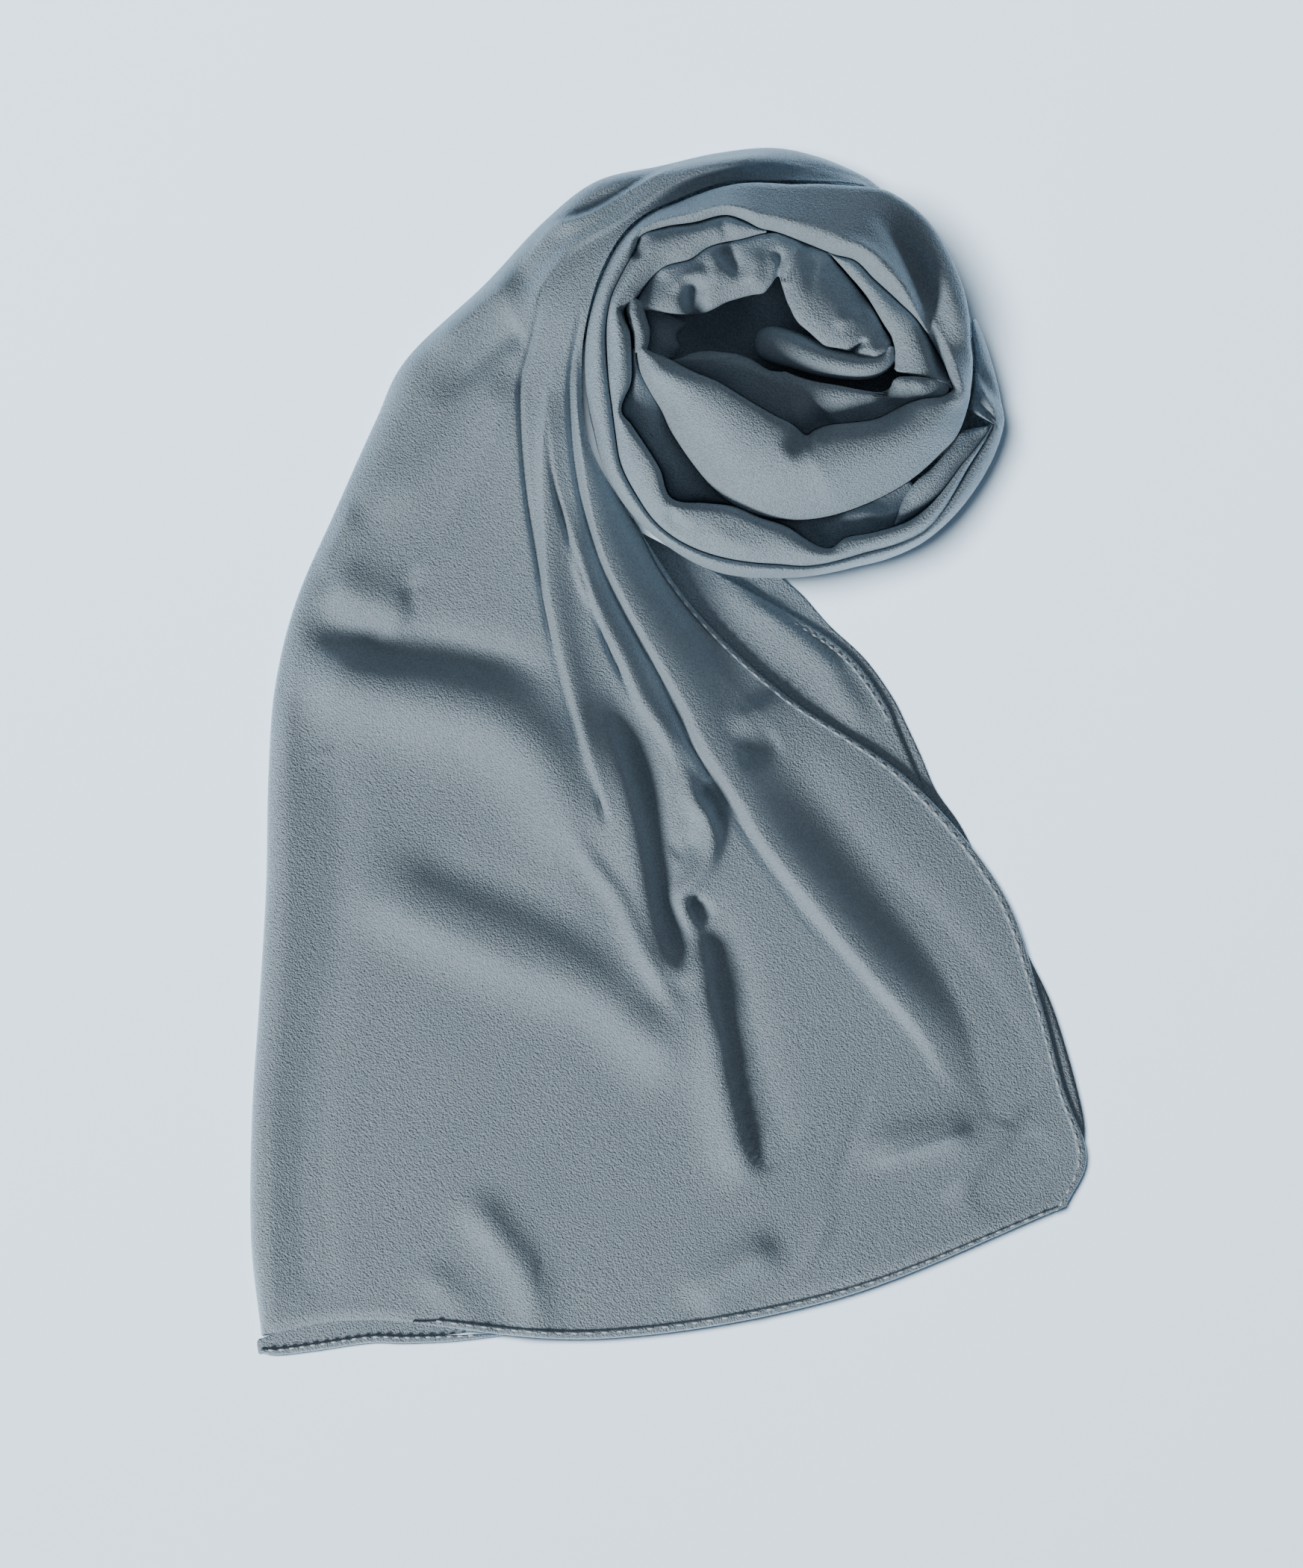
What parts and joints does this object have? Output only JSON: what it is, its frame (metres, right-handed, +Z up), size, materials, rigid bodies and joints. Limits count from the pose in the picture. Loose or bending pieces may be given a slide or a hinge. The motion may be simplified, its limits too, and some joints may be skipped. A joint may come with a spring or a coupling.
{
  "type": "georgette scarf",
  "caption": "Plain georgette scarf folded in half along its length, one end fanned out flat and the rest wound into a loose open coil, lying on a surface.",
  "frame": {"origin": "on the surface the scarf lies on, under the middle of its outline", "axes": "+Y from the fanned end towards the coil, +X to the right seen from above, +Z up"},
  "size_m": [0.364, 0.5248, 0.0597],
  "materials": {
    "georgette": "pebbled crepe weave with a slight satin sheen, slate blue-grey",
    "hem": "narrow turned hem of the same georgette, machine stitched",
    "hidden": "inner layers of the same georgette, in shadow"
  },
  "bodies": {
    "root": {"tail_upper_leaf": "georgette", "neck_pleats": "georgette", "tail_lower_leaf": "georgette", "tail_under_layer": "georgette", "side_hem_upper": "hem", "end_hem_upper": "hem", "side_hem_lower": "hem", "end_hem_lower": "hem", "shoulder_turn": "georgette", "lip_turn": "georgette", "outer_turn": "georgette", "outer_fan_fold": "georgette", "second_turn": "georgette", "third_turn": "georgette", "gap_layer": "georgette", "gap_pleat": "georgette", "sleeve_fold": "georgette", "middle_band": "georgette", "pouch_fold": "georgette", "bowl_layer": "georgette", "inner_left_fold": "georgette", "inner_roll": "georgette", "hidden_layers": "hidden"}
  },
  "joints": []
}
